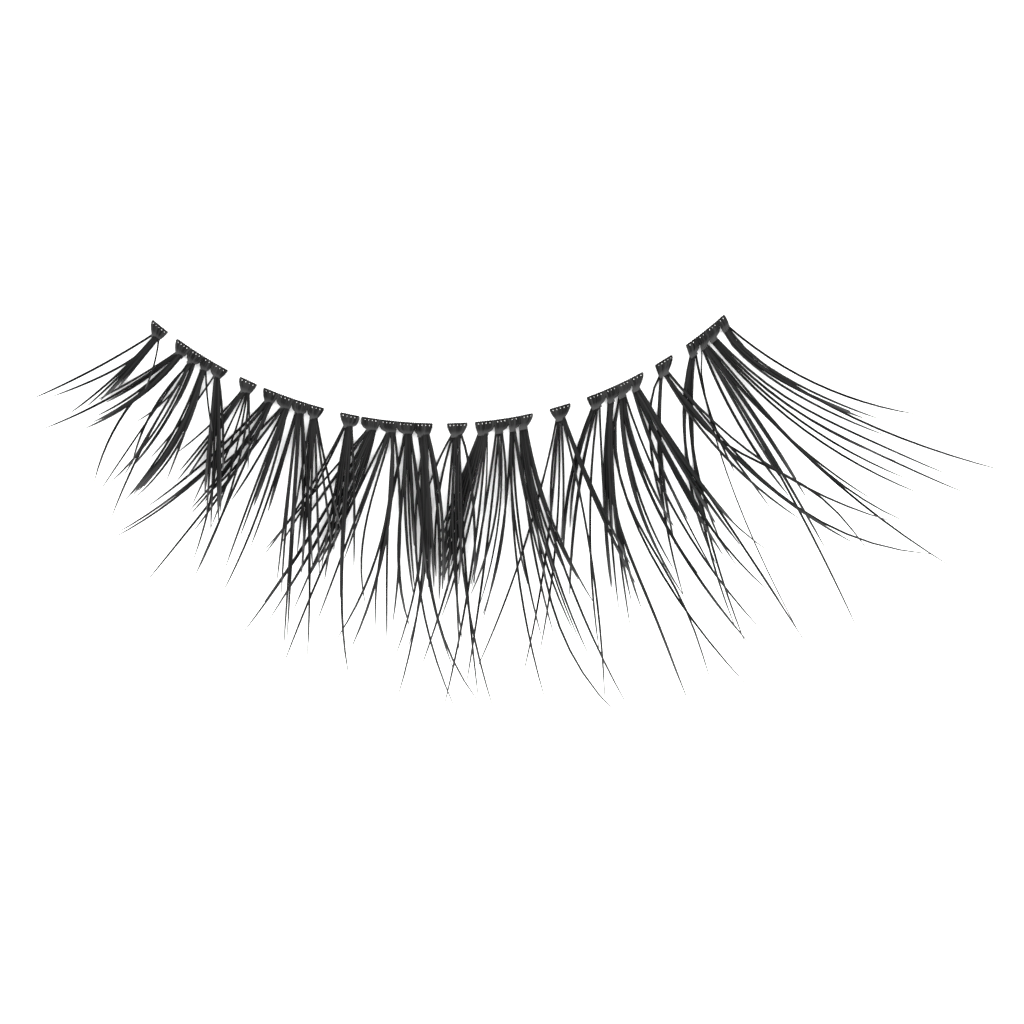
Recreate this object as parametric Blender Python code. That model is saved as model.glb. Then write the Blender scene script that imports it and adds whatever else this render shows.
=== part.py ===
"""False eyelash strip: a clear band threaded through thirty wrapped heads of hair, each with a fan of locks.

The strip lies face up on a flat surface. +X runs from the inner to the outer corner of the eye, -Y is the
way the lashes point and +Z is up. The shape is worked out in millimetres with the band's lowest point at
the origin, and the finished strip is centred on its footprint.
"""

import math
from collections import namedtuple

import bmesh
import bpy
from mathutils import Matrix, Vector

MM = 0.001

# Curve of the band along the back of the heads: two arcs that meet, tangent, at its lowest point
INNER_RADIUS = 23.4
OUTER_RADIUS = 22.1
INNER_SWEEP = 39.8
OUTER_SWEEP = 42.0

# Clear band, a flat strip that runs through every head
BAND_WIDTH = 0.22
BAND_THICKNESS = 0.12
BAND_RUNS = 44

# Heads of wrapped hair
BORE_CLEARANCE = 0.025
HEAD_WALL = 0.065
HEAD_GAP = 0.05
HEAD_CHAMFER = 0.06
HEAD_CROWN = 0.12
NECK_LENGTH = 0.22
NECK_WIDTH = 0.44
FRONT_SHARE = 0.86

# Locks of lashes
LONGEST_LASH = 16.0
LOCK_WIDTH = 0.16
LOCK_THICKNESS = 0.08
LOCK_CLEARANCE = 0.05
CURL_START = 1.0
CURL_RADIUS = 26.0

# How wide and thick a lock is at shares of its length, as shares of its full width and thickness
Section = namedtuple("Section", "along width thickness")
LOCK_SECTIONS = (
    Section(0.08, 0.75, 1.00),
    Section(0.28, 1.00, 1.00),
    Section(0.52, 0.90, 0.90),
    Section(0.78, 0.60, 0.70),
    Section(1.00, 0.16, 0.30),
)

# A lock leans by degrees from the band's outward direction, to the outer corner where positive. Its reach
# is in percent of the longest lash, and its bow in percent of its reach.
Lock = namedtuple("Lock", "lean reach bow")

# A tuft has its head from start to end, in percent along the band from the inner corner
Tuft = namedtuple("Tuft", "start end locks")
TUFTS = (
    Tuft(0.0, 3.4, (Lock(-26, 44, 1), Lock(-18, 36, 2), Lock(-9, 37, 0), Lock(-3, 25, 0), Lock(16, 51, 0))),
    Tuft(5.0, 7.8, (Lock(-27, 50, 1), Lock(-20, 38, 1), Lock(-14, 32, 1), Lock(2, 49, -4))),
    Tuft(7.8, 10.2, (Lock(-10, 27, 1), Lock(-2, 52, 0), Lock(6, 56, 0), Lock(12, 40, 0))),
    Tuft(10.2, 12.1, (Lock(-3, 51, 2), Lock(4, 44, 2), Lock(13, 37, 1), Lock(29, 39, 3))),
    Tuft(12.1, 14.8, (Lock(-10, 33, 1), Lock(21, 59, 2), Lock(27, 49, 1), Lock(33, 36, 1))),
    Tuft(16.8, 20.0, (Lock(-22, 30, 2), Lock(-11, 36, 1), Lock(0, 40, 1), Lock(9, 59, 2), Lock(18, 34, 1))),
    Tuft(21.0, 23.6, (Lock(-28, 66, 2), Lock(-20, 52, 2), Lock(-13, 44, 1), Lock(-7, 48, 1), Lock(0, 60, 0))),
    Tuft(23.6, 26.2, (Lock(-27, 34, 1), Lock(-19, 71, 3), Lock(-9, 42, 1), Lock(1, 61, 1))),
    Tuft(26.2, 28.8, (Lock(-2, 46, 1), Lock(9, 55, 0), Lock(14, 75, 0), Lock(20, 77, 1), Lock(26, 49, 0))),
    Tuft(28.8, 31.4, (Lock(0, 46, 0), Lock(7, 50, 0), Lock(14, 77, 0), Lock(20, 48, 0), Lock(26, 42, 0))),
    Tuft(33.9, 37.1, (Lock(-21, 49, 2), Lock(-13, 42, 1), Lock(-4, 45, 0), Lock(4, 48, 0), Lock(12, 79, -1))),
    Tuft(37.5, 40.4, (Lock(-24, 76, 2), Lock(-18, 68, 1), Lock(-11, 79, 1), Lock(-4, 58, 1))),
    Tuft(40.4, 43.2, (Lock(-18, 60, 1), Lock(-12, 64, 1), Lock(-5, 70, 2), Lock(2, 62, 0), Lock(8, 66, 1))),
    Tuft(43.2, 46.0, (Lock(-10, 70, 2), Lock(-2, 55, 0), Lock(5, 61, -1), Lock(12, 50, 0))),
    Tuft(46.0, 49.0, (Lock(-4, 84, 3), Lock(3, 62, 0), Lock(9, 88, -3), Lock(15, 87, -3))),
    Tuft(51.1, 54.6, (Lock(-11, 75, 3), Lock(-4, 88, 2), Lock(1, 71, 1), Lock(6, 88, -1), Lock(12, 46, 0))),
    Tuft(55.6, 58.7, (Lock(-23, 48, 1), Lock(-18, 60, 1), Lock(-13, 88, 2), Lock(-6, 58, 1))),
    Tuft(58.7, 61.0, (Lock(-18, 54, 1), Lock(-13, 81, 3), Lock(-5, 60, 1), Lock(2, 52, 0))),
    Tuft(61.0, 63.0, (Lock(-18, 61, 1), Lock(-9, 55, 0), Lock(-2, 86, -2), Lock(5, 56, 0))),
    Tuft(63.0, 65.2, (Lock(-4, 66, -1), Lock(1, 68, -2), Lock(7, 97, -3), Lock(13, 70, -2))),
    Tuft(67.7, 71.4, (Lock(-35, 85, 2), Lock(-24, 82, 2), Lock(-7, 91, 2), Lock(2, 50, 1), Lock(9, 58, 1))),
    Tuft(74.0, 77.0, (Lock(-33, 52, 0), Lock(-28, 61, 0), Lock(-21, 77, -2), Lock(-14, 59, -2))),
    Tuft(77.0, 79.3, (Lock(-23, 62, -1), Lock(-18, 72, -2), Lock(-9, 99, -5), Lock(-4, 70, -6))),
    Tuft(79.3, 81.5, (Lock(-15, 50, -3), Lock(-8, 97, -4), Lock(-2, 100, -6), Lock(3, 89, -5), Lock(7, 60, -4))),
    Tuft(81.5, 84.1, (Lock(-11, 60, -2), Lock(-4, 89, 0), Lock(1, 88, 0), Lock(6, 97, 0), Lock(12, 69, 0))),
    Tuft(86.1, 89.5, (Lock(-32, 50, 0), Lock(-27, 67, -2), Lock(7, 55, -1), Lock(18, 92, -2), Lock(25, 103, -3))),
    Tuft(92.0, 94.0, (Lock(-30, 67, -1), Lock(-24, 95, -2), Lock(-15, 98, -1), Lock(-4, 50, -2))),
    Tuft(94.0, 96.0, (Lock(-9, 104, 0), Lock(-3, 54, 0), Lock(3, 60, -2), Lock(9, 87, -3))),
    Tuft(96.0, 98.2, (Lock(0, 55, -3), Lock(6, 106, -3), Lock(13, 82, -5), Lock(19, 95, -6))),
    Tuft(98.2, 100.0, (Lock(8, 70, -5), Lock(14, 62, -5), Lock(21, 101, -6), Lock(27, 67, -7))),
)

# Lengths that follow from the sizes above
INNER_LENGTH = INNER_RADIUS * math.radians(INNER_SWEEP)
BAND_LENGTH = INNER_LENGTH + OUTER_RADIUS * math.radians(OUTER_SWEEP)
BORE_WIDTH = BAND_WIDTH + 2 * BORE_CLEARANCE
BORE_HEIGHT = BAND_THICKNESS + 2 * BORE_CLEARANCE
HEAD_DEPTH = BORE_WIDTH + 2 * HEAD_WALL
NECK_REACH = HEAD_DEPTH + NECK_LENGTH


def band_radius(run):
    """Radius of the arc that holds a place, run millimetres along the band from its lowest point."""
    return INNER_RADIUS if run < 0 else OUTER_RADIUS


def band_run(share):
    """Distance along the band from its lowest point to a share, in percent, of its whole length."""
    return share / 100 * BAND_LENGTH - INNER_LENGTH


def band_place(run):
    """Frame at the band's back edge: +X runs along the band there, and -Y points out along the lashes."""
    radius = band_radius(run)
    turn = run / radius
    spot = Vector((radius * math.sin(turn), radius * (1 - math.cos(turn)), 0))
    return Matrix.Translation(spot) @ Matrix.Rotation(turn, 4, "Z")


def band_coordinates(point):
    """Run along the band and distance out from its back edge, for a point of the flat plan."""
    radius = band_radius(point.x)
    from_centre = Vector((point.x, radius - point.y))
    turn = math.atan2(from_centre.x, from_centre.y)
    return turn * radius, from_centre.length - radius


def neck_run(tuft):
    """Where the middle of a tuft's head sits, along the band from its lowest point."""
    return band_run((tuft.start + tuft.end) / 2)


def fan_bank():
    """Slope of every fan along the band, which lets crossing locks of neighbouring tufts pass clear."""
    runs = [neck_run(tuft) for tuft in TUFTS]
    closest = min(after - before for before, after in zip(runs, runs[1:]))
    return (LOCK_THICKNESS + LOCK_CLEARANCE) / closest


BANK = fan_bank()


def fan_rise(tuft, point):
    """Height of a fan over its neck: the lashes curl up away from the band, and each fan banks along it."""
    run, out = band_coordinates(point)
    curl = max(out - CURL_START, 0) ** 2 / (2 * CURL_RADIUS)
    return curl + BANK * (run - neck_run(tuft))


def lock_root(tuft, number):
    """Sideways place of a lock on the neck, counted from the side of the inner corner."""
    count = len(tuft.locks)
    return NECK_WIDTH * ((number + 0.5) / count - 0.5)


def lock_point(tuft, number, along):
    """Middle of a lock in its tuft's frame, and the direction across it, at a share of its length."""
    lock = tuft.locks[number]
    lean = math.radians(lock.lean)
    ahead = Vector((math.sin(lean), -math.cos(lean), 0))
    across = Vector((math.cos(lean), math.sin(lean), 0))
    length = LONGEST_LASH * lock.reach / 100
    bow = length * lock.bow / 100
    neck = Vector((lock_root(tuft, number) * (1 - along), -NECK_REACH, 0))
    point = neck + ahead * (length * along) + across * (4 * bow * along * (1 - along))
    heading = ahead * length + across * (4 * bow * (1 - 2 * along))
    heading.normalize()
    return point, Vector((-heading.y, heading.x, 0))


def lock_corners(tuft, number, section):
    """The four corners of a lock's section by their side and level, each -1 or 1, before its root height."""
    place = band_place(neck_run(tuft))
    middle, across = lock_point(tuft, number, section.along)
    corners = {}
    for side in (-1, 1):
        corner = middle + across * (side * LOCK_WIDTH * section.width / 2)
        surface = fan_rise(tuft, place @ corner)
        for level in (-1, 1):
            height = surface + level * LOCK_THICKNESS * section.thickness / 2
            corners[side, level] = Vector((corner.x, corner.y, height))
    return corners


def root_height():
    """Height of every neck that lets the lowest lock of the strip just touch the surface."""
    lowest = -LOCK_THICKNESS / 2
    for tuft in TUFTS:
        for number in range(len(tuft.locks)):
            for section in LOCK_SECTIONS:
                corners = lock_corners(tuft, number, section)
                lowest = min(lowest, min(corner.z for corner in corners.values()))
    return -lowest


ROOT_HEIGHT = root_height()
HEAD_HEIGHT = max(ROOT_HEIGHT + HEAD_CROWN, BORE_HEIGHT + 2 * HEAD_WALL)
BAND_MIDDLE = HEAD_WALL + BORE_CLEARANCE + BAND_WIDTH / 2


def clear_scene():
    """Remove what a new file holds."""
    for item in list(bpy.data.objects):
        bpy.data.objects.remove(item, do_unlink=True)


def make_material(name, colour, roughness, alpha=1.0):
    """A plain material for one kind of piece."""
    material = bpy.data.materials.new(name)
    material.use_nodes = True
    shader = material.node_tree.nodes["Principled BSDF"]
    shader.inputs["Base Color"].default_value = (*colour, 1.0)
    shader.inputs["Roughness"].default_value = roughness
    shader.inputs["Metallic"].default_value = 0.0
    shader.inputs["Alpha"].default_value = alpha
    return material


def make_object(name, bm, material):
    """Turn a mesh drawn in millimetres into an object in metres, with its faces turned out."""
    bmesh.ops.recalc_face_normals(bm, faces=bm.faces)
    bmesh.ops.scale(bm, vec=(MM, MM, MM), verts=bm.verts)
    mesh = bpy.data.meshes.new(name)
    bm.to_mesh(mesh)
    bm.free()
    mesh.materials.append(material)
    piece = bpy.data.objects.new(name, mesh)
    bpy.context.scene.collection.objects.link(piece)
    return piece


def rectangle(bm, left, back, front, low, high):
    """Four corners of an upright rectangle across the band, at one distance along it."""
    spots = ((back, low), (front, low), (front, high), (back, high))
    return [bm.verts.new((left, y, z)) for y, z in spots]


def head_width(tuft):
    """Width of a head along the band's back edge, less its share of the gap to the next one."""
    return band_run(tuft.end) - band_run(tuft.start) - HEAD_GAP


def add_head(bm, width):
    """A wrapped head with the band's bore through it, and its front face ready for the neck."""
    left = -width / 2
    middle = HEAD_HEIGHT / 2
    outer = rectangle(bm, left, 0, -HEAD_DEPTH, 0, HEAD_HEIGHT)
    bore_low = middle - BORE_HEIGHT / 2
    bore_high = middle + BORE_HEIGHT / 2
    inner = rectangle(bm, left, -HEAD_WALL, HEAD_WALL - HEAD_DEPTH, bore_low, bore_high)
    end = []
    for here in range(4):
        after = (here + 1) % 4
        end.append(bm.faces.new((outer[here], outer[after], inner[after], inner[here])))
    swept = bmesh.ops.extrude_face_region(bm, geom=end)["geom"]
    moved = [item for item in swept if isinstance(item, bmesh.types.BMVert)]
    bmesh.ops.translate(bm, vec=(width, 0, 0), verts=moved)
    front = [vert for vert in bm.verts if abs(vert.co.y + HEAD_DEPTH) < HEAD_WALL / 2]
    bmesh.ops.scale(bm, vec=(FRONT_SHARE, 1, 1), verts=front)
    return next(face for face in bm.faces if all(vert in front for vert in face.verts))


def chamfer_back(bm):
    """Break the two long edges at the back of the head."""
    edges = [edge for edge in bm.edges
             if all(abs(vert.co.y) < HEAD_CHAMFER / 2 for vert in edge.verts)
             and abs(edge.verts[0].co.z - edge.verts[1].co.z) < HEAD_CHAMFER / 2]
    bmesh.ops.bevel(bm, geom=edges, offset=HEAD_CHAMFER, segments=1, profile=0.5, affect="EDGES")


def draw_neck(bm, front, count):
    """Draw the front face in to the neck, and part it into one face for each lock."""
    swept = bmesh.ops.extrude_face_region(bm, geom=[front])["geom"]
    bmesh.ops.delete(bm, geom=[front], context="FACES_ONLY")
    neck = next(item for item in swept if isinstance(item, bmesh.types.BMFace))
    for vert in neck.verts:
        side = math.copysign(NECK_WIDTH / 2, vert.co.x)
        level = math.copysign(LOCK_THICKNESS / 2, vert.co.z - HEAD_HEIGHT / 2)
        vert.co = Vector((side, -NECK_REACH, ROOT_HEIGHT + level))
    level_edges = [edge for edge in neck.edges
                   if abs(edge.verts[0].co.z - edge.verts[1].co.z) < LOCK_THICKNESS / 2]
    if count > 1:
        bmesh.ops.subdivide_edges(bm, edges=level_edges, cuts=count - 1, use_grid_fill=True)
    parted = [face for face in bm.faces
              if all(abs(vert.co.y + NECK_REACH) < NECK_LENGTH / 2 for vert in face.verts)]
    return sorted(parted, key=lambda face: face.calc_center_median().x)


def corner_key(vert, middle, across):
    """Side and level of a section's corner, as -1 or 1, seen from the section's middle."""
    offset = vert.co - middle
    return (1 if offset.dot(across) > 0 else -1, 1 if offset.z > 0 else -1)


def grow_lock(bm, face, tuft, number):
    """Draw one face of the neck out along its lock, section by section."""
    across = Vector((1, 0, 0))
    for section in LOCK_SECTIONS:
        middle = face.calc_center_median()
        face = bmesh.ops.extrude_discrete_faces(bm, faces=[face])["faces"][0]
        corners = lock_corners(tuft, number, section)
        for vert in face.verts:
            vert.co = corners[corner_key(vert, middle, across)] + Vector((0, 0, ROOT_HEIGHT))
        across = lock_point(tuft, number, section.along)[1]


def make_tuft(number, tuft, material):
    """One tuft: its head on the band, drawn in to a neck and out again into its locks."""
    bm = bmesh.new()
    front = add_head(bm, head_width(tuft))
    neck_faces = draw_neck(bm, front, len(tuft.locks))
    for order, face in enumerate(neck_faces):
        grow_lock(bm, face, tuft, order)
    chamfer_back(bm)
    piece = make_object(f"tuft_{number:02d}", bm, material)
    piece.matrix_world = metres(band_place(neck_run(tuft)))
    return piece


def metres(place):
    """The same place with its distances in metres."""
    return Matrix.Translation(place.to_translation() * MM) @ place.to_quaternion().to_matrix().to_4x4()


def make_band(material):
    """The clear band: its section swept round the two arcs, from one end of the heads to the other."""
    bm = bmesh.new()
    low = HEAD_HEIGHT / 2 - BAND_THICKNESS / 2
    high = HEAD_HEIGHT / 2 + BAND_THICKNESS / 2
    back = -BAND_MIDDLE + BAND_WIDTH / 2
    corners = rectangle(bm, 0, back, back - BAND_WIDTH, low, high)
    end = bm.faces.new(corners)
    here = band_place(band_run(0))
    bmesh.ops.transform(bm, matrix=here, verts=corners)
    for step in range(1, BAND_RUNS + 1):
        there = band_place(band_run(100 * step / BAND_RUNS))
        last = end
        swept = bmesh.ops.extrude_face_region(bm, geom=[last])["geom"]
        end = next(item for item in swept if isinstance(item, bmesh.types.BMFace))
        bmesh.ops.transform(bm, matrix=there @ here.inverted(), verts=list(end.verts))
        if step > 1:
            bmesh.ops.delete(bm, geom=[last], context="FACES_ONLY")
        here = there
    return make_object("clear_band", bm, material)


def centre_on_footprint(pieces):
    """Hang the pieces on one empty, and put the middle of their footprint at the origin."""
    frame = bpy.data.objects.new("strip_frame", None)
    bpy.context.scene.collection.objects.link(frame)
    spots = [piece.matrix_world @ vert.co for piece in pieces for vert in piece.data.vertices]
    low = Vector(min(spot[axis] for spot in spots) for axis in range(3))
    high = Vector(max(spot[axis] for spot in spots) for axis in range(3))
    for piece in pieces:
        piece.parent = frame
    frame.location = (-(low.x + high.x) / 2, -(low.y + high.y) / 2, -low.z)


def main():
    """Build the strip."""
    clear_scene()
    fibre = make_material("black_fibre", (0.012, 0.011, 0.012), 0.42)
    clear = make_material("clear_band", (0.86, 0.86, 0.84), 0.15, alpha=0.35)
    pieces = [make_band(clear)]
    for number, tuft in enumerate(TUFTS, start=1):
        pieces.append(make_tuft(number, tuft, fibre))
    bpy.context.view_layer.update()
    centre_on_footprint(pieces)


main()
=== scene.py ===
"""Looks of the false eyelash strip: wrapped heads of black fibre on a clear band, each with a fan of lashes.

The strip lies face up on a pale floor, seen from straight above. +X runs from the inner to the outer corner
of the eye, -Y is the way the lashes point and +Z is up. Shapes are worked out in millimetres, with the
lowest point of the band's back edge at the origin, and put in their place in the frame at the end.
"""

import logging
import math
import random
from dataclasses import dataclass
from enum import Enum
from functools import cached_property

import bmesh
import bpy
from mathutils import Matrix, Vector


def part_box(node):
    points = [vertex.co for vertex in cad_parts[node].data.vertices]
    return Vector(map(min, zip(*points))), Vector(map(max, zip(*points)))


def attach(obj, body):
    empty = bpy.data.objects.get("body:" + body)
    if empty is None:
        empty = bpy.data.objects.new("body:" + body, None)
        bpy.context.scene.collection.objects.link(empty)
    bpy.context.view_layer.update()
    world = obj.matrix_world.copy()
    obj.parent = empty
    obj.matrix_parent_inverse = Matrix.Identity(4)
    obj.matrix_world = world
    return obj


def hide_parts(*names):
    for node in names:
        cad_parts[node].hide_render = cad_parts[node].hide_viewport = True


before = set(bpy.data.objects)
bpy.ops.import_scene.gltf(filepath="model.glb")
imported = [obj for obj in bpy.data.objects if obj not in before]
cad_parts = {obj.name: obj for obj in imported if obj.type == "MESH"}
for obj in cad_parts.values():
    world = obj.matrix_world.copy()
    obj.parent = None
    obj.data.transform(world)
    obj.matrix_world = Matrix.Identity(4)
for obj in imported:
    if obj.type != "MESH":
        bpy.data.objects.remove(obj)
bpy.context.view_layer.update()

log = logging.getLogger("eyelash_strip")

MM = 0.001


class Slot(Enum):
    """Material slots of the record."""

    FIBRE = "black_fibre"
    BAND = "clear_band"


@dataclass(frozen=True)
class Lash:
    """One lash of a fan, as it lies seen from above.

    Args:
        lean: degrees from the band's outward direction, to the outer corner where positive.
        reach: straight length from neck to tip, in percent of the longest lash.
        bow: how far it bulges to the side, in percent of its reach.
        sway: how far it swings to one side and then the other, in percent of its reach.
        peak: where along it the bow is widest, as a share of its reach.
        width: its width as a share of a plain lash.
    """

    lean: float
    reach: float
    bow: float = 0.0
    sway: float = 0.0
    peak: float = 0.5
    width: float = 1.0


@dataclass(frozen=True)
class Fan:
    """One tuft of the strip, with its head from start to end in percent along the band.

    Args:
        start: where its head starts, from the inner corner.
        end: where its head ends.
        shift: how far its neck sits from the head's middle, along the band, in millimetres.
        neck: width of its neck, in millimetres.
        lashes: its lashes, in the order of their roots on the neck.
    """

    start: float
    end: float
    shift: float
    neck: float
    lashes: tuple[Lash, ...]


# Chart of the tufts, from the inner corner to the outer one

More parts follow.
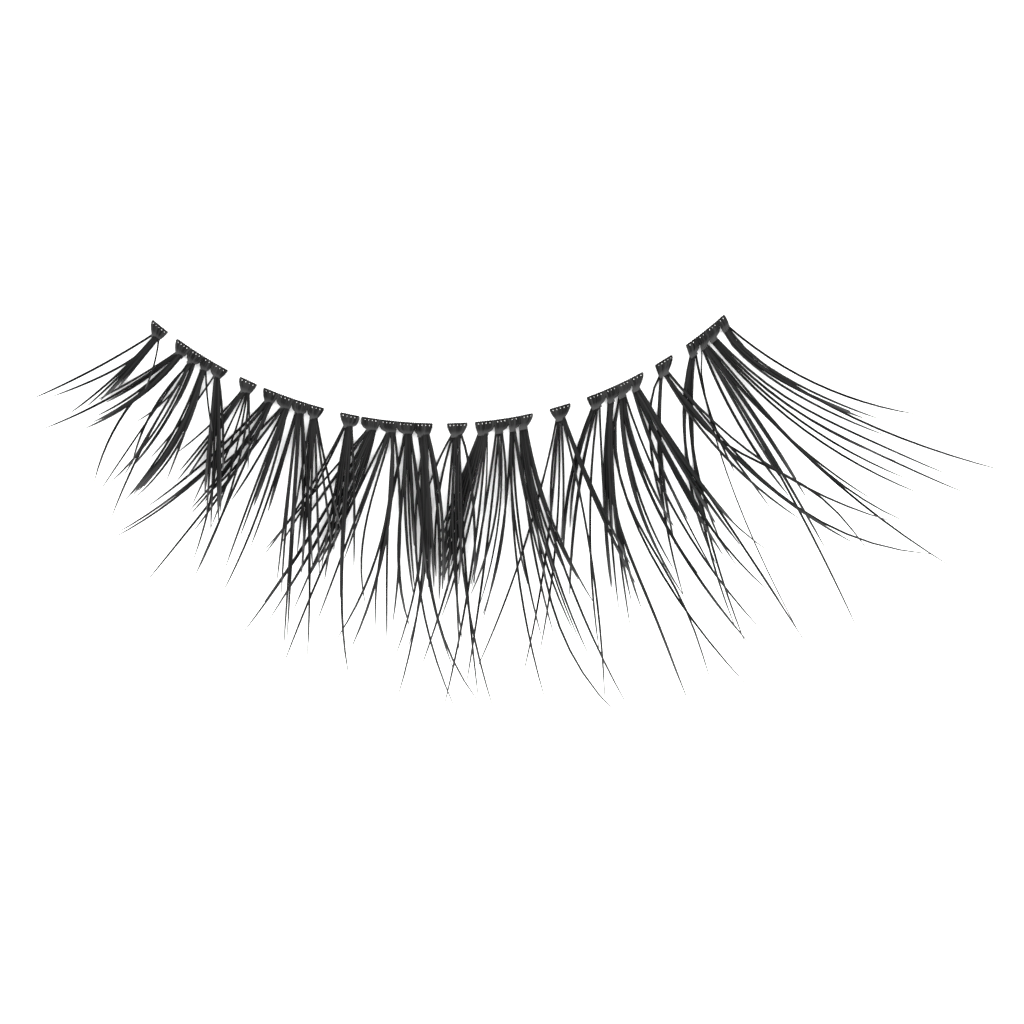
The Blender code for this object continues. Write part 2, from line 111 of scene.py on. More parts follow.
FANS = (
    Fan(0.0, 3.4, 0.18, 0.44, (
        Lash(-24.9, 44, 2), Lash(-21.5, 38, 8, peak=0.33), Lash(-9.9, 37, 3), Lash(-6.3, 31.4, 2),
        Lash(-2.6, 27, 1, width=1.3), Lash(-1, 23.5, width=1.4), Lash(2, 20, width=1.2),
        Lash(27, 17, 4, width=0.8),
    )),
    Fan(5.0, 7.8, 0.14, 0.40, (
        Lash(-26.2, 29.7, 1.5, width=0.9), Lash(-26.5, 49.6, 3.7), Lash(-22, 28, 3), Lash(-18.5, 33, 5),
        Lash(-17, 35, 6, width=1.2), Lash(-17, 38.3, 6.5, width=1.2), Lash(-15, 31, 6, width=1.3),
        Lash(1, 49, -9.7, width=1.1),
    )),
    Fan(7.8, 10.2, 0.02, 0.36, (
        Lash(-10, 26, 10, peak=0.45, width=0.8), Lash(-2.6, 51, -0.5, width=0.8), Lash(-1, 46, 6),
        Lash(2, 42), Lash(2.6, 38, -8), Lash(5.5, 56, -3), Lash(3.5, 38, 4.5, width=1.3),
        Lash(11, 17, 3, width=1.3),
    )),
    Fan(10.2, 12.1, 0.05, 0.28, (
        Lash(0, 49, 5), Lash(0.2, 47.8, 7, width=1.2), Lash(1.6, 46, 6.5, width=1.2), Lash(3.2, 46, 9),
        Lash(2.8, 44, 7.5), Lash(4, 42, 5, width=1.2), Lash(12.6, 37, 1), Lash(39, 20, -2, width=0.8),
    )),
    Fan(12.1, 14.8, 0.06, 0.32, (
        Lash(-10, 33, 2, width=0.8), Lash(22, 59, 6), Lash(23.4, 37.5, width=1.5), Lash(25, 44),
        Lash(27, 49), Lash(30, 46, width=1.4), Lash(31, 43, width=1.3), Lash(33, 30, 2),
    )),
    Fan(16.8, 20.0, 0.10, 0.45, (
        Lash(-23, 29, 3, width=0.8), Lash(-14.5, 33, 1), Lash(-12.3, 36, 1), Lash(-9, 34),
        Lash(0, 40, width=0.8), Lash(5, 38, 3, width=0.8), Lash(11, 45, 3, width=0.8),
        Lash(10, 61, 5.5, peak=0.45, width=0.9), Lash(27, 25, 1, width=0.7),
    )),
    Fan(21.0, 23.6, 0.12, 0.40, (
        Lash(-27, 51, 3), Lash(-26.5, 65.5, 6), Lash(-27, 64, 5.3), Lash(-24.5, 51, 4),
        Lash(-14, 43, 3), Lash(-12.7, 44, 3), Lash(-8, 48, 3), Lash(-0.8, 59.5),
    )),
    Fan(23.6, 26.2, 0.16, 0.40, (
        Lash(-28, 30, 2), Lash(-22, 38, 3), Lash(-18.5, 71, 0.5), Lash(-10, 34, 2),
        Lash(-0.4, 54.5, -0.5), Lash(0.8, 43.5), Lash(1.5, 62, 3.5), Lash(2.4, 33, width=1.4),
    )),
    Fan(26.2, 28.8, 0.07, 0.40, (
        Lash(-1.9, 45.5, 1), Lash(0.5, 33, width=1.4), Lash(10.5, 54), Lash(12.4, 58, -1),
        Lash(14.3, 75), Lash(15, 72), Lash(15, 40), Lash(20, 78, 2), Lash(20, 45), Lash(23, 50),
    )),
    Fan(28.8, 31.4, 0.0, 0.34, (
        Lash(4.5, 30), Lash(9, 44), Lash(11.5, 50, width=1.3), Lash(14, 52), Lash(18, 50), Lash(24, 40),
        Lash(29.5, 36, -1),
    )),
    Fan(33.9, 37.1, 0.04, 0.42, (
        Lash(-21.3, 49, 2.4, width=0.9), Lash(-18, 44, 2, width=0.9), Lash(1, 46),
        Lash(3, 50, width=1.2), Lash(5, 40), Lash(9, 55, -1),
        Lash(11.7, 79.1, -3, peak=0.65, width=1.2), Lash(14, 45, 1),
    )),
    Fan(37.5, 40.4, 0.13, 0.45, (
        Lash(-32.7, 52, width=0.8), Lash(-27.6, 35.6, width=1.1), Lash(-23.4, 76.8, 2.5),
        Lash(-23, 65, 2), Lash(-19.4, 69, 2), Lash(-19, 64, 2), Lash(-14.5, 62.5),
        Lash(-14, 50.2, 2, width=1.2), Lash(-12.5, 46, 3, width=1.2), Lash(-10.5, 40, 4),
    )),
    Fan(40.4, 43.2, 0.20, 0.42, (
        Lash(-18.2, 81.5, -1.5), Lash(-14.7, 64.5), Lash(-13.6, 43), Lash(-2, 55.3, -6.5, peak=0.62),
        Lash(-7.9, 68, 8.2, width=1.1), Lash(-3.6, 69.5, 6, width=1.3), Lash(5.6, 68, -1.3),
        Lash(7.2, 61, 3.4, width=1.1),
    )),
    Fan(43.2, 46.0, 0.14, 0.40, (
        Lash(-5, 62.6, -3, peak=0.68), Lash(-7, 52, -1.5, peak=0.6, width=1.3),
        Lash(4.9, 61.5, -5, peak=0.65, width=1.4), Lash(6.5, 52, -3, width=1.2), Lash(7, 50, -1.5),
        Lash(7.8, 36, width=1.5), Lash(10, 50, 3), Lash(12, 47),
    )),
    Fan(46.0, 49.0, 0.0, 0.55, (
        Lash(-5, 71, 6.4), Lash(-3.5, 84.5, 5.4), Lash(-1.9, 68, 6), Lash(0, 47, 2, width=1.3),
        Lash(2, 48, 2, width=1.3), Lash(4, 49, 2, width=1.3), Lash(6, 49, 1, width=1.3),
        Lash(9.2, 75, -6), Lash(8.6, 88, -8.2), Lash(13.6, 87, -9, peak=0.6),
        Lash(7.5, 53, 3, width=1.3), Lash(9, 50, 4, width=1.3),
    )),
    Fan(51.1, 54.6, -0.06, 0.52, (
        Lash(-30, 19, -3, width=0.9), Lash(-10.5, 46, -5), Lash(-7, 47, -1), Lash(-5.5, 50),
        Lash(-0.7, 66, -3), Lash(-1.6, 70, -1), Lash(-1.5, 48, 2), Lash(2.4, 84, -1.2),
        Lash(5.3, 88, -4.8), Lash(4.5, 48, 4, peak=0.42, width=1.1),
    )),
    Fan(55.6, 58.7, -0.12, 0.48, (
        Lash(-29, 37, width=0.8), Lash(-27, 39), Lash(-24.5, 42, width=1.3),
        Lash(-23.5, 47, 1, width=1.3), Lash(-22.3, 48, 2, width=1.3), Lash(-21, 48, 1, width=1.3),
        Lash(-19.5, 44), Lash(-20.6, 77, 2), Lash(-18.5, 60, 3), Lash(-14, 88.6, 2.2),
        Lash(-10, 50, 3, width=0.7),
    )),
    Fan(58.7, 61.0, -0.18, 0.35, (
        Lash(-18.5, 50, 1), Lash(-17.9, 53, 7), Lash(-15.5, 81, 1), Lash(-14.5, 56, 5, width=0.8),
        Lash(-13.2, 59, 6.5),
    )),
    Fan(61.0, 63.0, -0.18, 0.25, (
        Lash(-18.8, 61.6, 3.3), Lash(-4.5, 50, -4), Lash(-3.2, 87, -4.2), Lash(-2.1, 67.3, -3.4),
        Lash(2.5, 50, -2), Lash(4, 42, -2),
    )),
    Fan(63.0, 65.2, -0.32, 0.36, (
        Lash(-3.5, 66.5, -3), Lash(1, 50, -4), Lash(2, 67.5, -5), Lash(3, 71, -4, width=0.8),
        Lash(6.4, 97, -9.3, peak=0.62), Lash(4.2, 76, -4), Lash(5, 50, -5), Lash(8, 52, -5),
        Lash(8.6, 94.5, -4), Lash(10, 60.5, -5),
    )),
    Fan(67.7, 71.4, -0.15, 0.45, (
        Lash(-34.8, 85, 3, width=0.9), Lash(-24.6, 83, 2.5, width=0.9), Lash(-21.4, 75.5, 3, width=0.9),
        Lash(-20.4, 36, -4), Lash(-16, 42, 2), Lash(-7.4, 91, 2.8), Lash(8, 58, -2, width=1.3),
        Lash(9.2, 52, -2, width=1.2),
    )),
    Fan(74.0, 77.0, -0.16, 0.46, (
        Lash(-34, 48, -5, width=1.4), Lash(-33.5, 40, -4.5, width=1.2), Lash(-29.4, 61, -3, width=1.3),
        Lash(-20.8, 77.6, -3.4), Lash(-16.4, 59, -1),
    )),
    Fan(77.0, 79.3, -0.22, 0.28, (
        Lash(-25, 42, -1, width=1.3), Lash(-23.6, 60, -3.2), Lash(-23, 45, -1, width=1.4),
        Lash(-21.5, 66.6, -2.2), Lash(-18.8, 72.5, -2), Lash(-21, 45, -1.5, width=1.4),
        Lash(-17.9, 64.2, -3.5, width=1.2), Lash(-15.4, 67, -5.5, width=1.3),
        Lash(-9.4, 98, -7, -2, width=1.3),
    )),
    Fan(79.3, 81.5, -0.35, 0.36, (
        Lash(-8.3, 95.5, -5.5, -3.2, peak=0.45), Lash(-2.4, 100.4, -11.5, peak=0.4),
        Lash(-10.5, 59, -7), Lash(-9, 58, -6.5), Lash(-8.5, 67, -7.5, width=1.1),
        Lash(-4, 45, -5, width=1.2), Lash(1.4, 88.3, -7.5, peak=0.43, width=1.3),
        Lash(-2.5, 62, -7, width=1.2), Lash(5, 86.6, -5.6),
    )),
    Fan(81.5, 84.1, -0.34, 0.34, (
        Lash(-6, 45, -3, width=1.3), Lash(-4.2, 66.6, -3, width=0.8), Lash(0, 60, -2, width=1.3),
        Lash(2, 65, -2), Lash(3, 50, width=1.5), Lash(5.6, 77.5, -5.8, peak=0.55), Lash(6.1, 96.3, 0.5),
        Lash(6.5, 82), Lash(6, 60, -2, width=1.3), Lash(8.6, 55, -3, width=1.5),
        Lash(11.6, 67.2, -6, peak=0.6, width=0.8),
    )),
    Fan(86.1, 89.5, -0.36, 0.50, (
        Lash(-29.9, 48, -9, peak=0.42), Lash(-26.6, 72, -5), Lash(-28, 55, -4, width=1.2),
        Lash(6.6, 54.5, 1.5), Lash(11.1, 63.3, -6, width=1.1), Lash(16.2, 80.6, -6, width=1.3),
        Lash(17.3, 86, -1.8, -4.5), Lash(24, 103, -11.5, peak=0.57), Lash(25.1, 86.7, -8),
    )),
    Fan(92.0, 94.0, -0.26, 0.36, (
        Lash(-31, 55, -8.5, width=1.2), Lash(-30, 67.6, -8, width=1.1), Lash(-28, 60, -7, width=1.2),
        Lash(-26, 94, -6.3, peak=0.42), Lash(-27.5, 88, -6), Lash(-16.8, 40, -4),
    )),
    Fan(94.0, 96.0, -0.21, 0.36, (
        Lash(-19.4, 98.8, -5.5, peak=0.4, width=0.6), Lash(-8.5, 55, -4, width=1.2),
        Lash(-7, 75, 1, width=1.2), Lash(-9.5, 102.7, 1.8), Lash(-8, 48, -1, width=1.2),
        Lash(-3.9, 58, 1, width=1.3), Lash(-3.2, 52, 1, width=1.2), Lash(9.5, 72, -5),
        Lash(10.2, 105.6, -4.6), Lash(10.8, 85, -6, peak=0.6),
    )),
    Fan(96.0, 98.2, -0.33, 0.36, (
        Lash(13.5, 82.5, -6.5), Lash(14.4, 76, -6), Lash(16.5, 70, -6), Lash(18.9, 94.5, -6, -1),
        Lash(20.3, 86.5, -5.5, -1),
    )),
    Fan(98.2, 100.0, -0.14, 0.38, (
        Lash(14.8, 61.5, -7.5, peak=0.4), Lash(15, 48, -8, peak=0.4, width=1.3),
        Lash(15.5, 52.4, -7.5, peak=0.4, width=1.4), Lash(18.1, 57, -7, peak=0.4),
        Lash(21.4, 99, -7.2, peak=0.42), Lash(24.3, 66.5, -7),
    )),
)


@dataclass(frozen=True)
class BandLine:
    """Line of the band's back edge: two arcs that meet, tangent, at its lowest point."""

    inner_radius: float = 23.4
    outer_radius: float = 22.1
    inner_sweep: float = 39.8
    outer_sweep: float = 42.0

    @property
    def inner_length(self) -> float:
        """Length of the arc towards the inner corner."""
        return self.inner_radius * math.radians(self.inner_sweep)

    @property
    def length(self) -> float:
        """Length of both arcs."""
        return self.inner_length + self.outer_radius * math.radians(self.outer_sweep)

    def run(self, share: float) -> float:
        """Find how far along the band a share of it lies.

        Args:
            share: percent of the band's length, from the inner corner.

        Returns:
            Distance along the band from its lowest point.
        """
        return share / 100 * self.length - self.inner_length

    def radius(self, run: float) -> float:
        """Radius of the arc that holds a place, run along the band from its lowest point."""
        return self.inner_radius if run < 0 else self.outer_radius

    def place(self, run: float) -> Matrix:
        """Find the frame at a place on the back edge, where +X runs along the band and -Y points out.

        Args:
            run: distance along the band from its lowest point.

        Returns:
            The frame as a matrix.
        """
        radius = self.radius(run)
        turn = run / radius
        spot = Vector((radius * math.sin(turn), radius * (1 - math.cos(turn)), 0))
        return Matrix.Translation(spot) @ Matrix.Rotation(turn, 4, "Z")

    def coordinates(self, point: Vector) -> tuple[float, float]:
        """Find where a point of the plan lies against the band.

        Args:
            point: the point, seen from above.

        Returns:
            Distance along the band, and distance out from its back edge.
        """
        radius = self.radius(point.x)
        from_centre = Vector((point.x, radius - point.y))
        turn = math.atan2(from_centre.x, from_centre.y)
        return turn * radius, from_centre.length - radius


@dataclass(frozen=True)
class Layout:
    """Where the strip lies in the frame, and the height law that every fan follows."""

    line: BandLine = BandLine()
    band_back: float = 0.09
    band_width: float = 0.22
    head_crown: float = 0.12
    neck_reach: float = 0.62
    longest_lash: float = 16.0
    curl_start: float = 1.0
    curl_radius: float = 26.0
    lock_spacing: float = 0.13

    @cached_property
    def origin(self) -> Vector:
        """Lowest point of the band's back edge in the frame, in metres, from the ends of the clear band."""
        low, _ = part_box("clear_band")
        front = self.band_back + self.band_width
        sweep = math.radians(self.line.inner_sweep)
        across = (self.line.inner_radius + front) * math.sin(sweep)
        return Vector((low.x + across * MM, low.y + front * MM, 0))

    @cached_property
    def band_height(self) -> float:
        """Height of the middle of the clear band."""
        low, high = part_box("clear_band")
        return (low.z + high.z) / 2 / MM

    @property
    def head_height(self) -> float:
        """Height of the top of a head."""
        return 2 * self.band_height

    @property
    def root_height(self) -> float:
        """Height of every neck."""
        return self.head_height - self.head_crown

    @cached_property
    def bank(self) -> float:
        """Slope of a fan along the band, which lets the lashes of neighbouring fans pass clear."""
        runs = [self.middle(fan) for fan in FANS]
        return self.lock_spacing / min(after - before for before, after in zip(runs, runs[1:]))

    def middle(self, fan: Fan) -> float:
        """Distance along the band to the middle of a fan's head."""
        return self.line.run((fan.start + fan.end) / 2)

    def head_width(self, fan: Fan) -> float:
        """Width of a fan's head along the band."""
        return self.line.run(fan.end) - self.line.run(fan.start)

    def gap(self, number: int, side: int) -> float:
        """Find how much bare band lies between a head and the next one.

        Args:
            number: number of the fan, counted from 1.
            side: 1 towards the outer corner, -1 towards the inner one.

        Returns:
            Length of the bare band, without end past the last head.
        """
        there = number - 1 + side
        if not 0 <= there < len(FANS):
            return math.inf
        first, second = sorted((number - 1, there))
        return self.line.run(FANS[second].start) - self.line.run(FANS[first].end)

    def to_frame(self, bm: bmesh.types.BMesh) -> None:
        """Put a mesh drawn in millimetres round the band's lowest point in its place in the frame.

        Args:
            bm: the mesh to move.
        """
        place = Matrix.Translation(self.origin) @ Matrix.Scale(MM, 4)
        bmesh.ops.transform(bm, matrix=place, verts=bm.verts)


@dataclass(frozen=True)
class Ring:
    """Radius of a strand at a share of its length, as a share of its full radius."""

    along: float
    radius: float


class Level(Enum):
    """Heights in a head that the rings of its loops are placed from."""

    FLOOR = "floor"
    MIDDLE = "middle"
    TOP = "top"
    NECK = "neck"


@dataclass(frozen=True)
class LoopRing:
    """One ring of a loop of hair, in the order that the loop runs.

    Args:
        share: share of the way from the head's back edge to the neck.
        level: height that it is placed from.
        lift: how far over that height it is, in millimetres.
        size: its radius as a share of the loop's full radius.
    """

    share: float
    level: Level
    lift: float
    size: float


@dataclass(frozen=True)
class Strand:
    """A closed strand of fibre: a capped tube with a ring of points at each of its steps."""

    sides: int
    steps: int

    def template(self) -> bpy.types.Mesh:
        """Build the plain tube that every strand of this kind is a copy of.

        Returns:
            The tube, one step long for each of its rings.
        """
        bm = new_mesh()
        bmesh.ops.create_cone(bm, cap_ends=True, segments=self.sides, radius1=1, radius2=1, depth=self.steps)
        bmesh.ops.translate(bm, vec=(0, 0, self.steps / 2), verts=bm.verts)
        upright = [edge for edge in bm.edges if abs(edge.verts[0].co.z - edge.verts[1].co.z) > 0.5]
        bmesh.ops.subdivide_edges(bm, edges=upright, cuts=self.steps - 1, use_grid_fill=True)
        mesh = bpy.data.meshes.new("strand")
        bm.to_mesh(mesh)
        bm.free()
        return mesh

    def draw(
        self,
        bm: bmesh.types.BMesh,
        template: bpy.types.Mesh,
        spots: list[Vector],
        radii: list[float],
        shade: float,
    ) -> None:
        """Draw one strand.

        Args:
            bm: the mesh that takes it, with the layers along and shade.
            template: the plain tube.
            spots: middles of its rings.
            radii: radius of each ring.
            shade: its own brightness, from 0 to 1.
        """
        along_layer = bm.verts.layers.float["along"]
        shade_layer = bm.verts.layers.float["shade"]
        headings = [after - before for before, after in zip(spots[:1] + spots, spots[1:] + spots[-1:])]
        places = [self.ring_place(*ring) for ring in zip(spots, headings, radii)]
        drawn = len(bm.verts)
        bm.from_mesh(template)
        bm.verts.ensure_lookup_table()
        for vert in bm.verts[drawn:]:
            step = round(vert.co.z)
            vert.co = places[step] @ Vector((vert.co.x, vert.co.y, 0))
            vert[along_layer] = step / self.steps
            vert[shade_layer] = shade

    def ring_place(self, spot: Vector, heading: Vector, radius: float) -> Matrix:
        """Find the frame of a ring, square to the strand there.

        Args:
            spot: middle of the ring.
            heading: the way the strand runs.
            radius: radius of the ring.

        Returns:
            The frame as a matrix.
        """
        turn = heading.to_track_quat("Z", "Y")
        return Matrix.Translation(spot) @ turn.to_matrix().to_4x4() @ Matrix.Scale(radius, 4)


@dataclass(frozen=True)
class Grain:
    """Fine noise that varies the gloss and the relief of a surface.

    Args:
        scale: scale of the noise.
        gloss: roughness where it is lowest.
        matt: roughness where it is highest.
        relief: strength of its bump.
        detail: its levels of detail.
        depth: depth of its bump, in millimetres.
    """

    scale: float
    gloss: float
    matt: float
    relief: float
    detail: float = 2.0
    depth: float = 0.01

    def dress(self, material: bpy.types.Material) -> None:
        """Lay the noise on the roughness and the bump of a material.

        Args:
            material: the material to vary.
        """
        nodes = material.node_tree.nodes
        links = material.node_tree.links
        shader = nodes["Principled BSDF"]
        place = nodes.new("ShaderNodeTexCoord")
        noise = nodes.new("ShaderNodeTexNoise")
        noise.inputs["Scale"].default_value = self.scale
        noise.inputs["Detail"].default_value = self.detail
        links.new(place.outputs["Object"], noise.inputs["Vector"])
        rough = nodes.new("ShaderNodeMapRange")
        rough.inputs["To Min"].default_value = self.gloss
        rough.inputs["To Max"].default_value = self.matt
        links.new(noise.outputs["Fac"], rough.inputs["Value"])
        links.new(rough.outputs["Result"], shader.inputs["Roughness"])
        bump = nodes.new("ShaderNodeBump")
        bump.inputs["Strength"].default_value = self.relief
        bump.inputs["Distance"].default_value = self.depth * MM
        links.new(noise.outputs["Fac"], bump.inputs["Height"])
        links.new(bump.outputs["Normal"], shader.inputs["Normal"])


@dataclass(frozen=True)
class FibreFinish:
    """Satin black fibre, a little paler at the tips, with fine streaks."""

    dark: tuple[float, float, float] = (0.002, 0.002, 0.002)
    pale: tuple[float, float, float] = (0.045, 0.045, 0.045)
    tip: tuple[float, float, float] = (0.05, 0.05, 0.05)
    fade_start: float = 0.72
    level: float = 0.06
    streaks: Grain = Grain(scale=9000.0, gloss=0.38, matt=0.56, relief=0.25)

    def material(self) -> bpy.types.Material:
        """Build the finish.

        Returns:
            The material.
        """
        material = bpy.data.materials.new("black_fibre_satin")
        material.use_nodes = True
        nodes = material.node_tree.nodes
        links = material.node_tree.links
        shader = nodes["Principled BSDF"]
        shader.inputs["Specular IOR Level"].default_value = self.level
        shade = nodes.new("ShaderNodeAttribute")
        shade.attribute_name = "shade"
        along = nodes.new("ShaderNodeAttribute")
        along.attribute_name = "along"
        own = nodes.new("ShaderNodeMix")
        own.data_type = "RGBA"
        own.inputs["A"].default_value = (*self.dark, 1)
        own.inputs["B"].default_value = (*self.pale, 1)
        links.new(shade.outputs["Fac"], own.inputs["Factor"])
        fade = nodes.new("ShaderNodeMapRange")
        fade.inputs["From Min"].default_value = self.fade_start
        links.new(along.outputs["Fac"], fade.inputs["Value"])
        tipped = nodes.new("ShaderNodeMix")
        tipped.data_type = "RGBA"
        tipped.inputs["B"].default_value = (*self.tip, 1)
        links.new(fade.outputs["Result"], tipped.inputs["Factor"])
        links.new(own.outputs["Result"], tipped.inputs["A"])
        links.new(tipped.outputs["Result"], shader.inputs["Base Color"])
        self.streaks.dress(material)
        return material


@dataclass(frozen=True)
class ClearFinish:
    """Clear soft plastic of the band and of the stitches that cross the heads; on the stitches it is kept
    mostly opaque and pale, a painted glint.
    """

    name: str
    see_through: float
    colour: tuple[float, float, float] = (0.93, 0.93, 0.92)
    index: float = 1.45
    ripples: Grain = Grain(scale=4000.0, gloss=0.12, matt=0.25, relief=0.15)

    def material(self) -> bpy.types.Material:
        """Build the finish.

        Returns:
            The material.
        """
        material = bpy.data.materials.new(self.name)
        material.use_nodes = True
        shader = material.node_tree.nodes["Principled BSDF"]
        shader.inputs["Base Color"].default_value = (*self.colour, 1)
        shader.inputs["Transmission Weight"].default_value = self.see_through
        shader.inputs["IOR"].default_value = self.index
        self.ripples.dress(material)
        return material


def new_mesh() -> bmesh.types.BMesh:
    """Start a mesh that holds, at each point, the share along its strand and the strand's own shade.

    Returns:
        The empty mesh.
    """
    bm = bmesh.new()
    bm.verts.layers.float.new("along")
    bm.verts.layers.float.new("shade")
    return bm


def finish_piece(
    bm: bmesh.types.BMesh, name: str, material: bpy.types.Material, smooth: bool = True,
) -> bpy.types.Object:
    """Turn a drawn mesh into a piece that rides on the strip.

    Args:
        bm: the mesh, in its place in the frame.
        name: name of the piece.
        material: its finish.
        smooth: whether its faces are shaded smooth.

    Returns:
        The piece.
    """
    bmesh.ops.recalc_face_normals(bm, faces=bm.faces)
    for face in bm.faces:
        face.smooth = smooth
    mesh = bpy.data.meshes.new(name)
    bm.to_mesh(mesh)
    bm.free()
    mesh.materials.append(material)
    piece = bpy.data.objects.new(name, mesh)
    bpy.context.scene.collection.objects.link(piece)
    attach(piece, "root")
    return piece


@dataclass
class Tuft:
    """One tuft: hair looped over the band as a head, drawn in to a neck and spread out as a fan of lashes."""

    number: int
    fan: Fan
    layout: Layout
    loop_pitch: float = 0.12
    loop_radius: float = 0.085
    loop_spread: float = 0.08
    loop_shade: float = 0.35
    lone_draw: float = 1.5
    joined_draw: float = 5.0
    joined_gap: float = 0.2
    joined_reach: float = 0.03
    lash_radius: float = 0.067
    lash_shade: float = 0.2
    end_reach: float = 1.015
    lift: float = 0.05
    lash: Strand = Strand(sides=5, steps=12)
    loop: Strand = Strand(sides=6, steps=9)
    core_shares: tuple[float, ...] = (0.06, 0.4, 0.6, 0.75, 0.88, 1.0)
    rings: tuple[Ring, ...] = (
        Ring(0.0, 0.9), Ring(0.1, 1.0), Ring(0.65, 1.0), Ring(0.85, 0.85), Ring(0.95, 0.62), Ring(1.0, 0.3),
    )
    loop_rings: tuple[LoopRing, ...] = (
        LoopRing(0.85, Level.NECK, -0.04, 0.7),
        LoopRing(0.4, Level.FLOOR, 0.0, 0.9),
        LoopRing(0.2, Level.FLOOR, 0.0, 1.0),
        LoopRing(0.0, Level.MIDDLE, 0.0, 1.0),
        LoopRing(0.26, Level.TOP, 0.0, 1.0),
        LoopRing(0.42, Level.TOP, 0.0, 1.0),
        LoopRing(0.62, Level.TOP, -0.02, 0.95),
        LoopRing(0.82, Level.NECK, 0.04, 0.85),
        LoopRing(1.0, Level.NECK, 0.02, 0.7),
        LoopRing(1.25, Level.NECK, 0.0, 0.5),
    )

    def build(self, material: bpy.types.Material) -> bpy.types.Object:
        """Build the tuft and let it stand for its solid.

        Args:
            material: finish of the fibre.

        Returns:
            The finished piece.
        """
        chance = random.Random(self.number)
        bm = new_mesh()
        self.add_core(bm)
        self.add_loops(bm, chance)
        bmesh.ops.transform(bm, matrix=self.place, verts=bm.verts)
        self.add_lashes(bm, chance)
        self.layout.to_frame(bm)
        piece = finish_piece(bm, f"lash_tuft_{self.number:02d}", material)
        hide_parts(f"tuft_{self.number:02d}")
        return piece

    @property
    def place(self) -> Matrix:
        """Frame at the middle of the head's back edge."""
        return self.layout.line.place(self.layout.middle(self.fan))

    def joined(self, side: float) -> bool:
        """Whether the next head touches this one on a side."""
        return self.layout.gap(self.number, 1 if side > 0 else -1) < self.joined_gap

    def draw(self, side: float) -> float:
        """How late a side of the head is drawn in to the neck: later where the next head touches it."""
        return self.joined_draw if self.joined(side) else self.lone_draw

    def edge(self, side: float, share: float) -> float:
        """Find where a line of the head lies along the band, between its back edge and the neck.

        Args:
            side: place of the line across the head, from -1 at one side to 1 at the other.
            share: share of the way to the neck.

        Returns:
            Place along the band, from the middle of the head.
        """
        drawn = min(share, 1) ** self.draw(side)
        half = self.layout.head_width(self.fan) / 2 - self.loop_radius
        back = side * (half + (self.joined_reach if self.joined(side) else 0))
        neck = self.fan.shift + side * self.fan.neck / 2
        return back * (1 - drawn) + neck * drawn

    def add_core(self, bm: bmesh.types.BMesh) -> None:
        """Add the solid heart of the head, so that no light comes through between its loops.

        Args:
            bm: the mesh that takes it.
        """
        half = self.layout.band_height - self.loop_radius
        cube = bmesh.ops.create_cube(bm, size=1)["verts"]
        front = min(bm.faces, key=lambda face: face.calc_center_median().y)
        self.place_core(cube, self.core_shares[0], half)
        self.place_core(list(front.verts), self.core_shares[1], half)
        for share in self.core_shares[2:]:
            front = bmesh.ops.extrude_discrete_faces(bm, faces=[front])["faces"][0]
            self.place_core(list(front.verts), share, half)

    def place_core(self, verts: list[bmesh.types.BMVert], share: float, half: float) -> None:
        """Put points of the heart at the section of the head that a share of the way to the neck reaches.

        Args:
            verts: the points, each on its own side and level of the heart.
            share: share of the way to the neck.
            half: half the height of the heart behind the neck.
        """
        low = self.layout.band_height
        level = low + (self.layout.root_height - low) * share ** 2
        thick = half + (self.lash_radius - half) * share
        middle = sum(vert.co.x for vert in verts) / len(verts)
        height = sum(vert.co.z for vert in verts) / len(verts)
        for vert in verts:
            side = math.copysign(1, vert.co.x - middle)
            up = math.copysign(thick, vert.co.z - height)
            vert.co = Vector((self.edge(side, share), -self.layout.neck_reach * share, level + up))

    def add_loops(self, bm: bmesh.types.BMesh, chance: random.Random) -> None:
        """Add the loops of hair over the band, each drawn in towards the neck above and below.

        Args:
            bm: the mesh that takes them.
            chance: source of their small differences.
        """
        count = max(round(self.layout.head_width(self.fan) / self.loop_pitch), 3)
        template = self.loop.template()
        for order in range(count):
            side = 2 * order / (count - 1) - 1
            radius = self.loop_radius * chance.uniform(1 - self.loop_spread, 1 + self.loop_spread)
            spots = self.loop_spots(side, radius)
            radii = [radius * ring.size for ring in self.loop_rings]
            self.loop.draw(bm, template, spots, radii, chance.uniform(0, self.loop_shade))
        bpy.data.meshes.remove(template)

    def loop_spots(self, side: float, radius: float) -> list[Vector]:
        """Find the middles of the rings of one loop, from under the head, round its back and over it.

        Args:
            side: place of the loop across the head, from -1 at one side to 1 at the other.
            radius: radius of the loop.

        Returns:
            The spots in the tuft's frame.
        """
        top = self.layout.head_height - radius
        heights = {
            Level.FLOOR: radius,
            Level.MIDDLE: (radius + top) / 2,
            Level.TOP: top,
            Level.NECK: self.layout.root_height,
        }
        reach = self.layout.neck_reach
        spots = []
        for ring in self.loop_rings:
            share = max(ring.share, radius / reach)
            spots.append(Vector((self.edge(side, share), -reach * share, heights[ring.level] + ring.lift)))
        return spots

    def add_lashes(self, bm: bmesh.types.BMesh, chance: random.Random) -> None:
        """Add the lashes of the fan.

        Args:
            bm: the mesh that takes them.
            chance: source of their small differences.
        """
        template = self.lash.template()
        for order, lash in enumerate(self.fan.lashes):
            lift = chance.uniform(-self.lift, self.lift)
            spots = []
            radii = []
            for step in range(self.lash.steps + 1):
                along = step / self.lash.steps
                size = self.lash_radius * lash.width * self.ring_radius(along)
                flat = self.place @ self.lash_point(order, along)
                height = self.layout.root_height + self.rise(flat) + lift * along
                spots.append(Vector((flat.x, flat.y, max(height, size))))
                radii.append(size)
            self.lash.draw(bm, template, spots, radii, chance.uniform(0, self.lash_shade))
        bpy.data.meshes.remove(template)

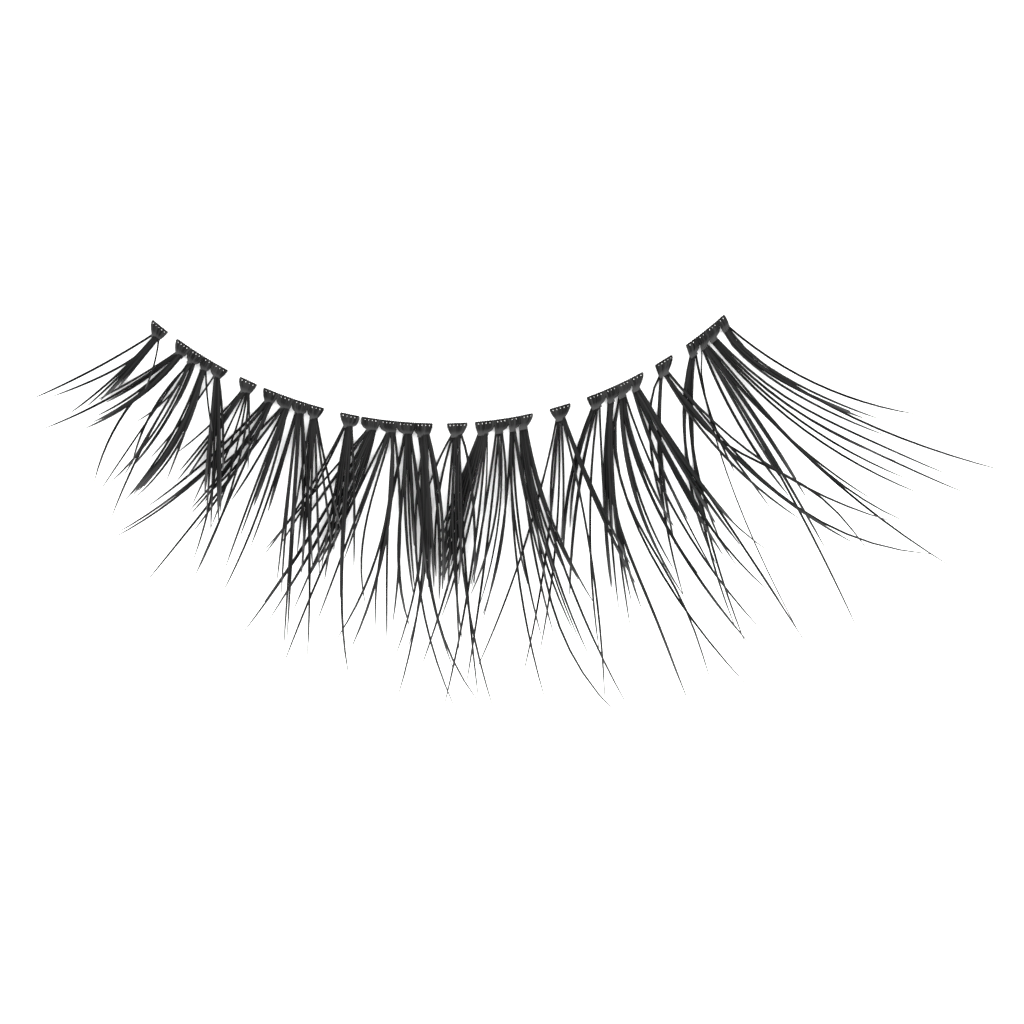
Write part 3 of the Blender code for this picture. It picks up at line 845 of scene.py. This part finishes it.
    def ring_radius(self, along: float) -> float:
        """Find how thick a lash is at a share of its length.

        Args:
            along: share of its length.

        Returns:
            Its radius there, as a share of its full radius.
        """
        for before, after in zip(self.rings, self.rings[1:]):
            if along <= after.along:
                part = (along - before.along) / (after.along - before.along)
                return before.radius + (after.radius - before.radius) * part
        return self.rings[-1].radius

    def lash_point(self, order: int, along: float) -> Vector:
        """Find a point of a lash in the plan.

        Args:
            order: number of the lash in the fan.
            along: share of its length.

        Returns:
            The point in the tuft's frame.
        """
        lash = self.fan.lashes[order]
        lean = math.radians(lash.lean)
        ahead = Vector((math.sin(lean), -math.cos(lean), 0))
        across = Vector((math.cos(lean), math.sin(lean), 0))
        length = self.layout.longest_lash * self.end_reach * lash.reach / 100
        bent = along ** (math.log(0.5) / math.log(lash.peak))
        side = lash.bow * 4 * bent * (1 - bent) + lash.sway * math.sin(2 * math.pi * along)
        count = len(self.fan.lashes)
        spread = self.fan.neck * ((order + 0.5) / count - 0.5)
        root = Vector((self.fan.shift + spread * (1 - along), -self.layout.neck_reach, 0))
        return root + ahead * (length * along) + across * (length * side / 100)

    def rise(self, point: Vector) -> float:
        """Find how high a fan stands over its neck: it curls up away from the band and banks along it.

        Args:
            point: the point, seen from above.

        Returns:
            Height over the neck.
        """
        run, out = self.layout.line.coordinates(point)
        curl = max(out - self.layout.curl_start, 0) ** 2 / (2 * self.layout.curl_radius)
        return curl + self.layout.bank * (run - self.layout.middle(self.fan))


@dataclass
class ClearBand:
    """The clear band through the heads, with the stitches of clear thread that cross them, coloured pale as a
    painted glint.
    """

    layout: Layout
    thickness: float = 0.12
    runs: int = 132
    stitch_pitch: float = 0.2
    stitch_inset: float = 0.15
    stitch_length: float = 0.034
    stitch_width: float = 0.017
    stitch_sides: int = 6
    stitch_rings: int = 4
    stitch_scales: tuple[float, float] = (0.7, 1.1)
    stitch_slant: float = 30.0
    slant_spread: float = 15.0
    seed: int = 7

    def build_band(self, material: bpy.types.Material) -> bpy.types.Object:
        """Build the band and let it stand for its solid.

        Args:
            material: finish of the clear plastic.

        Returns:
            The finished piece.
        """
        bm = new_mesh()
        line = self.layout.line
        middle = -self.layout.band_back - self.layout.band_width / 2
        corners = bmesh.ops.create_grid(bm, x_segments=1, y_segments=1, size=0.5)["verts"]
        face = corners[0].link_faces[0]
        bmesh.ops.rotate(bm, matrix=Matrix.Rotation(math.radians(90), 3, "Y"), verts=corners)
        size = (1, self.layout.band_width, self.thickness)
        bmesh.ops.scale(bm, vec=size, verts=corners)
        bmesh.ops.translate(bm, vec=(0, middle, self.layout.band_height), verts=corners)
        here = line.place(line.run(0))
        bmesh.ops.transform(bm, matrix=here, verts=corners)
        for step in range(1, self.runs + 1):
            there = line.place(line.run(100 * step / self.runs))
            if step == 1:
                swept = bmesh.ops.extrude_face_region(bm, geom=[face])["geom"]
                face = next(item for item in swept if isinstance(item, bmesh.types.BMFace))
            else:
                face = bmesh.ops.extrude_discrete_faces(bm, faces=[face])["faces"][0]
            bmesh.ops.transform(bm, matrix=there @ here.inverted(), verts=list(face.verts))
            here = there
        self.layout.to_frame(bm)
        piece = finish_piece(bm, "clear_strip", material, smooth=False)
        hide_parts("clear_band")
        return piece

    def build_stitches(self, material: bpy.types.Material) -> bpy.types.Object:
        """Build the stitches, a short slanting bead between each pair of loops, pale and mostly opaque as a
        painted glint on the clear thread.

        Args:
            material: finish of the clear thread.

        Returns:
            The finished piece.
        """
        chance = random.Random(self.seed)
        bm = new_mesh()
        for fan in FANS:
            width = self.layout.head_width(fan)
            count = max(round(width / self.stitch_pitch), 3)
            place = self.layout.line.place(self.layout.middle(fan))
            for order in range(count):
                along = ((order + 0.5) / count - 0.5) * width + self.stitch_pitch / 2
                if abs(along) > width / 2 - self.stitch_width:
                    continue
                bead = bmesh.ops.create_uvsphere(
                    bm, u_segments=self.stitch_sides, v_segments=self.stitch_rings, radius=1,
                )["verts"]
                scale = chance.uniform(*self.stitch_scales)
                slant = chance.choice((-self.stitch_slant, self.stitch_slant))
                slant += chance.uniform(-self.slant_spread, self.slant_spread)
                shape = Matrix.Diagonal((self.stitch_width, self.stitch_length, self.stitch_width, 1))
                spot = Vector((along, -self.stitch_inset, self.layout.head_height - self.stitch_width))
                turn = Matrix.Rotation(math.radians(slant), 4, "Z")
                matrix = place @ Matrix.Translation(spot) @ turn @ Matrix.Scale(scale, 4) @ shape
                bmesh.ops.transform(bm, matrix=matrix, verts=bead)
        self.layout.to_frame(bm)
        piece = finish_piece(bm, "band_stitches", material)
        return piece


@dataclass(frozen=True)
class FloorFinish:
    """Plain pale floor."""

    colour: tuple[float, float, float] = (0.93, 0.93, 0.93)
    roughness: float = 0.8
    level: float = 0.2

    def material(self) -> bpy.types.Material:
        """Build the finish.

        Returns:
            The material.
        """
        material = bpy.data.materials.new("pale_floor")
        material.use_nodes = True
        shader = material.node_tree.nodes["Principled BSDF"]
        shader.inputs["Base Color"].default_value = (*self.colour, 1)
        shader.inputs["Roughness"].default_value = self.roughness
        shader.inputs["Specular IOR Level"].default_value = self.level
        return material


@dataclass(frozen=True)
class SoftBox:
    """A soft box aimed at the strip.

    Args:
        name: name of the light.
        spot: where it hangs, in metres.
        power: its power in watts.
        size: side of the box, in metres.
    """

    name: str
    spot: tuple[float, float, float]
    power: float
    size: float = 0.6


@dataclass
class Studio:
    """Pale floor, soft light and the camera straight above."""

    layout: Layout
    image_size: float = 1024.0
    photo_scale: float = 19.2
    photo_join: tuple[float, float] = (440.0, 422.8)
    camera_height: float = 1.5
    sensor: float = 36.0
    floor_size: float = 4.0
    world_light: float = 2.5
    clip_factor: float = 10.0
    boxes: tuple[SoftBox, ...] = (
        SoftBox("soft_box_left", (-0.5, 0.25, 0.7), 4.0),
        SoftBox("soft_box_right", (0.5, 0.15, 0.7), 3.0),
    )

    def build(self) -> None:
        """Build the floor, the lights and the camera."""
        self.add_floor()
        self.add_world()
        for box in self.boxes:
            self.add_light(box)
        self.add_camera()

    def add_floor(self) -> None:
        """Add the floor that the strip lies on."""
        bm = bmesh.new()
        bmesh.ops.create_grid(bm, x_segments=1, y_segments=1, size=self.floor_size / 2)
        mesh = bpy.data.meshes.new("floor")
        bm.to_mesh(mesh)
        bm.free()
        mesh.materials.append(FloorFinish().material())
        floor = bpy.data.objects.new("floor", mesh)
        bpy.context.scene.collection.objects.link(floor)

    def add_world(self) -> None:
        """Add an even white surround."""
        world = bpy.data.worlds.new("studio")
        world.use_nodes = True
        background = world.node_tree.nodes["Background"]
        background.inputs["Color"].default_value = (1, 1, 1, 1)
        background.inputs["Strength"].default_value = self.world_light
        bpy.context.scene.world = world
        bpy.context.scene.view_settings.view_transform = "Standard"

    def add_light(self, box: SoftBox) -> None:
        """Add a soft box aimed at the strip.

        Args:
            box: the soft box.
        """
        light = bpy.data.lights.new(box.name, "AREA")
        light.size = box.size
        light.energy = box.power
        lamp = bpy.data.objects.new(box.name, light)
        lamp.location = box.spot
        lamp.rotation_euler = Vector(box.spot).to_track_quat("Z", "Y").to_euler()
        bpy.context.scene.collection.objects.link(lamp)

    def add_camera(self) -> None:
        """Add the camera, straight above the middle of the picture."""
        camera = bpy.data.cameras.new("camera")
        camera.sensor_width = self.sensor
        view = self.image_size / self.photo_scale * MM
        camera.lens = self.sensor * self.camera_height / view
        camera.clip_start = self.camera_height / self.clip_factor
        camera.clip_end = self.camera_height * self.clip_factor
        eye = bpy.data.objects.new("camera", camera)
        across = (self.image_size / 2 - self.photo_join[0]) / self.photo_scale * MM
        down = (self.image_size / 2 - self.photo_join[1]) / self.photo_scale * MM
        origin = self.layout.origin
        eye.location = (origin.x + across, origin.y - down, self.camera_height)
        bpy.context.scene.collection.objects.link(eye)
        bpy.context.scene.camera = eye


def main() -> None:
    """Build the looks of the strip, piece by piece."""
    logging.basicConfig(level=logging.INFO, format="%(message)s")
    layout = Layout()
    fibre = FibreFinish().material()
    band = ClearBand(layout)
    pieces = [
        band.build_band(ClearFinish("clear_band_plastic", see_through=0.8).material()),
        # Stitch thread made mostly opaque and pale: real thread carrying a painted glint.
        band.build_stitches(ClearFinish("clear_thread_painted_glint", see_through=0.2).material()),
    ]
    for number, fan in enumerate(FANS, start=1):
        pieces.append(Tuft(number, fan, layout).build(fibre))
    for piece in pieces:
        log.info("%s has %d faces", piece.name, len(piece.data.polygons))
    Studio(layout).build()


if __name__ == "__main__":
    main()
